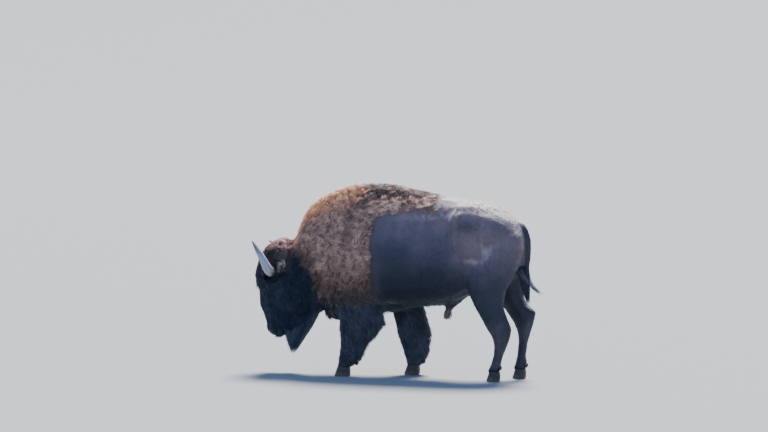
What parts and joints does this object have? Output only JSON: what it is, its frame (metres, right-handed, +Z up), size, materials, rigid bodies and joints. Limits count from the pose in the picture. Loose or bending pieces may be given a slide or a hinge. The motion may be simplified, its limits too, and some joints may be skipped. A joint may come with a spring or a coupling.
{
  "type": "bison",
  "caption": "Standing bull bison, life size, walking with its head low: woolly hump and cape, beard, shaggy forelegs, short upcurved horns and a hanging tufted tail.",
  "frame": {"origin": "on the ground under the middle of the animal's bounding box", "axes": "+Z up, the animal faces -X, its left side is -Y"},
  "size_m": [2.7338, 0.7446, 1.802],
  "materials": {
    "wool": "curly matt wool of hump and neck",
    "dark_hair": "long dark hair of head, beard, forelegs and tail tuft",
    "short_hair": "short smooth hair of ribs, rump and hind legs",
    "horn": "grey worn horn, dark at the tip",
    "hoof": "near-black hoof horn",
    "eye": "wet, almost black brown"
  },
  "bodies": {
    "root": {"head": "dark_hair", "beard": "dark_hair", "neck": "wool", "shoulders": "wool", "barrel": "short_hair", "hindquarters": "short_hair", "tail": "short_hair", "tail_tuft": "dark_hair", "sheath": "short_hair", "scrotum": "short_hair", "foreleg_left": "dark_hair", "foreleg_left_hoof_left": "hoof", "foreleg_left_hoof_right": "hoof", "foreleg_left_dewclaw_inner": "hoof", "foreleg_left_dewclaw_outer": "hoof", "hindleg_left": "short_hair", "hindleg_left_hoof_left": "hoof", "hindleg_left_hoof_right": "hoof", "hindleg_left_dewclaw_inner": "hoof", "hindleg_left_dewclaw_outer": "hoof", "foreleg_right": "dark_hair", "foreleg_right_hoof_left": "hoof", "foreleg_right_hoof_right": "hoof", "foreleg_right_dewclaw_inner": "hoof", "foreleg_right_dewclaw_outer": "hoof", "hindleg_right": "short_hair", "hindleg_right_hoof_left": "hoof", "hindleg_right_hoof_right": "hoof", "hindleg_right_dewclaw_inner": "hoof", "hindleg_right_dewclaw_outer": "hoof", "horn_left": "horn", "ear_left": "dark_hair", "eye_left": "eye", "horn_right": "horn", "ear_right": "dark_hair", "eye_right": "eye"}
  },
  "joints": []
}
